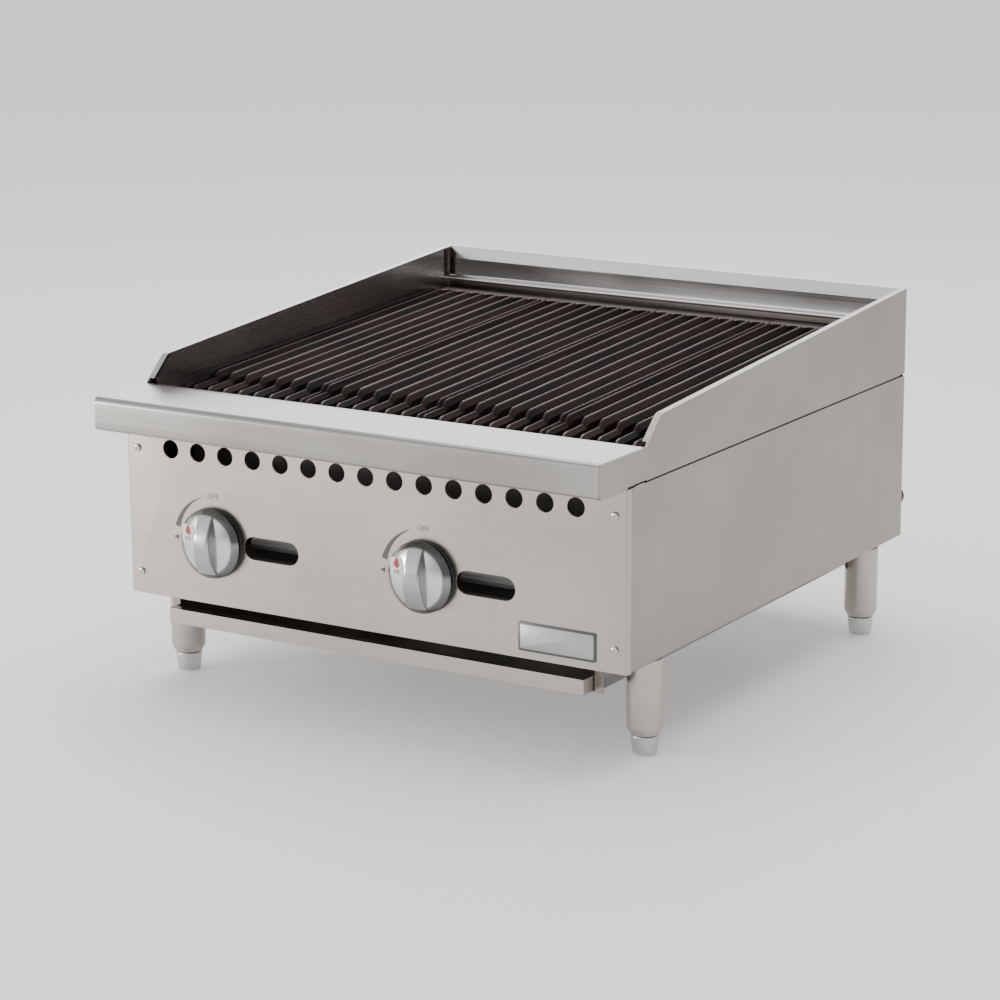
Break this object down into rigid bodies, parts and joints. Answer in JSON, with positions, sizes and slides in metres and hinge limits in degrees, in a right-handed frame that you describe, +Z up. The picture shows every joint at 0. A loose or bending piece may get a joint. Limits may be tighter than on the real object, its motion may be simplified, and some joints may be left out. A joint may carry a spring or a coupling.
{
  "type": "charbroiler grill",
  "caption": "Countertop gas charbroiler: stainless cabinet on legs, sloped cast grates between splash guards, burner knobs, lighting slots and a slide-out drip tray.",
  "frame": {"origin": "on the counter, under the middle of the object's box", "axes": "+Z up, -Y towards the cook, +X to the cook's right"},
  "size_m": [0.6096, 0.701, 0.3868],
  "materials": {
    "air_shutter_left": "plain machined brass",
    "air_shutter_right": "plain machined brass",
    "back_panel": "satin stainless sheet",
    "badge_plate": "plain satin plate",
    "burner_left": "rough black casting",
    "burner_rest": "dull aluminised sheet",
    "burner_right": "rough black casting",
    "control_panel": "satin stainless sheet",
    "drip_tray": "satin stainless sheet",
    "firebox_front": "dull aluminised sheet",
    "firebox_left": "dull aluminised sheet",
    "firebox_rear": "dull aluminised sheet",
    "firebox_right": "dull aluminised sheet",
    "foot_front_left": "plated steel",
    "foot_front_right": "plated steel",
    "foot_rear_left": "plated steel",
    "foot_rear_right": "plated steel",
    "front_ledge": "satin stainless sheet",
    "gas_manifold": "black pipe",
    "grate_1": "rough black casting",
    "grate_2": "rough black casting",
    "grate_3": "rough black casting",
    "grate_4": "rough black casting",
    "grate_support_front": "dull aluminised sheet",
    "grate_support_rear": "dull aluminised sheet",
    "knob_bezel_left": "matte black",
    "knob_bezel_right": "matte black",
    "knob_left": "polished die casting",
    "knob_right": "polished die casting",
    "leg_front_left": "satin stainless sheet",
    "leg_front_right": "satin stainless sheet",
    "leg_rear_left": "satin stainless sheet",
    "leg_rear_right": "satin stainless sheet",
    "orifice_left": "plain machined brass",
    "orifice_right": "plain machined brass",
    "panel_screw_1": "plated steel",
    "panel_screw_2": "plated steel",
    "panel_screw_3": "plated steel",
    "panel_screw_4": "plated steel",
    "pilot_burner_left": "dull tube",
    "pilot_burner_right": "dull tube",
    "pilot_tube_left": "dull tube",
    "pilot_tube_right": "dull tube",
    "radiant_1": "dull aluminised sheet",
    "radiant_2": "dull aluminised sheet",
    "radiant_3": "dull aluminised sheet",
    "radiant_4": "dull aluminised sheet",
    "radiant_rack": "dull aluminised sheet",
    "side_panel_left": "satin stainless sheet",
    "side_panel_right": "satin stainless sheet",
    "splash_back": "satin stainless sheet",
    "splash_left": "satin stainless sheet",
    "splash_right": "satin stainless sheet",
    "tray_rail_left": "satin stainless sheet",
    "tray_rail_right": "satin stainless sheet",
    "valve_left": "plain machined brass",
    "valve_right": "plain machined brass",
    "valve_stem_left": "plated steel",
    "valve_stem_right": "plated steel"
  },
  "bodies": {
    "cabinet": {"back_panel": "back_panel", "badge_plate": "badge_plate", "burner_left": "burner_left", "burner_rest": "burner_rest", "burner_right": "burner_right", "control_panel": "control_panel", "firebox_front": "firebox_front", "firebox_left": "firebox_left", "firebox_rear": "firebox_rear", "firebox_right": "firebox_right", "front_ledge": "front_ledge", "gas_manifold": "gas_manifold", "grate_support_front": "grate_support_front", "grate_support_rear": "grate_support_rear", "knob_bezel_left": "knob_bezel_left", "knob_bezel_right": "knob_bezel_right", "leg_front_left": "leg_front_left", "leg_front_right": "leg_front_right", "leg_rear_left": "leg_rear_left", "leg_rear_right": "leg_rear_right", "orifice_left": "orifice_left", "orifice_right": "orifice_right", "panel_screw_1": "panel_screw_1", "panel_screw_2": "panel_screw_2", "panel_screw_3": "panel_screw_3", "panel_screw_4": "panel_screw_4", "pilot_burner_left": "pilot_burner_left", "pilot_burner_right": "pilot_burner_right", "pilot_tube_left": "pilot_tube_left", "pilot_tube_right": "pilot_tube_right", "radiant_1": "radiant_1", "radiant_2": "radiant_2", "radiant_3": "radiant_3", "radiant_4": "radiant_4", "radiant_rack": "radiant_rack", "side_panel_left": "side_panel_left", "side_panel_right": "side_panel_right", "splash_back": "splash_back", "splash_left": "splash_left", "splash_right": "splash_right", "tray_rail_left": "tray_rail_left", "tray_rail_right": "tray_rail_right", "valve_left": "valve_left", "valve_right": "valve_right"},
    "knob_left": {"knob_left": "knob_left", "valve_stem_left": "valve_stem_left"},
    "knob_right": {"knob_right": "knob_right", "valve_stem_right": "valve_stem_right"},
    "drip_tray": {"drip_tray": "drip_tray"},
    "grate_1": {"grate_1": "grate_1"},
    "grate_2": {"grate_2": "grate_2"},
    "grate_3": {"grate_3": "grate_3"},
    "grate_4": {"grate_4": "grate_4"},
    "foot_front_left": {"foot_front_left": "foot_front_left"},
    "foot_front_right": {"foot_front_right": "foot_front_right"},
    "foot_rear_left": {"foot_rear_left": "foot_rear_left"},
    "foot_rear_right": {"foot_rear_right": "foot_rear_right"},
    "air_shutter_left": {"air_shutter_left": "air_shutter_left"},
    "air_shutter_right": {"air_shutter_right": "air_shutter_right"}
  },
  "joints": [
    {"name": "knob_left_turn", "type": "hinge", "parent": "cabinet", "child": "knob_left", "pos_m": [-0.19325, -0.29805, 0.1698], "axis": [0, -1, 0], "range_deg": [0, 90]},
    {"name": "knob_right_turn", "type": "hinge", "parent": "cabinet", "child": "knob_right", "pos_m": [0.06925, -0.29805, 0.1698], "axis": [0, -1, 0], "range_deg": [0, 90]},
    {"name": "drip_tray_slide", "type": "slide", "parent": "cabinet", "child": "drip_tray", "axis": [0, -1, 0], "range_m": [0, 0.42]},
    {"name": "grate_1_lift", "type": "slide", "parent": "cabinet", "child": "grate_1", "axis": [0, -0.7071, 0.7071], "range_m": [0, 0.16]},
    {"name": "grate_2_lift", "type": "slide", "parent": "cabinet", "child": "grate_2", "axis": [0, -0.7071, 0.7071], "range_m": [0, 0.16]},
    {"name": "grate_3_lift", "type": "slide", "parent": "cabinet", "child": "grate_3", "axis": [0, -0.7071, 0.7071], "range_m": [0, 0.16]},
    {"name": "grate_4_lift", "type": "slide", "parent": "cabinet", "child": "grate_4", "axis": [0, -0.7071, 0.7071], "range_m": [0, 0.16]},
    {"name": "foot_front_left_adjust", "type": "slide", "parent": "cabinet", "child": "foot_front_left", "axis": [0, 0, -1], "range_m": [0, 0.02]},
    {"name": "foot_front_right_adjust", "type": "slide", "parent": "cabinet", "child": "foot_front_right", "axis": [0, 0, -1], "range_m": [0, 0.02]},
    {"name": "foot_rear_left_adjust", "type": "slide", "parent": "cabinet", "child": "foot_rear_left", "axis": [0, 0, -1], "range_m": [0, 0.02]},
    {"name": "foot_rear_right_adjust", "type": "slide", "parent": "cabinet", "child": "foot_rear_right", "axis": [0, 0, -1], "range_m": [0, 0.02]},
    {"name": "air_shutter_left_turn", "type": "hinge", "parent": "cabinet", "child": "air_shutter_left", "pos_m": [-0.19325, -0.24405, 0.1698], "axis": [0, -1, 0], "range_deg": [0, 60]},
    {"name": "air_shutter_right_turn", "type": "hinge", "parent": "cabinet", "child": "air_shutter_right", "pos_m": [0.06925, -0.24405, 0.1698], "axis": [0, -1, 0], "range_deg": [0, 60]}
  ]
}
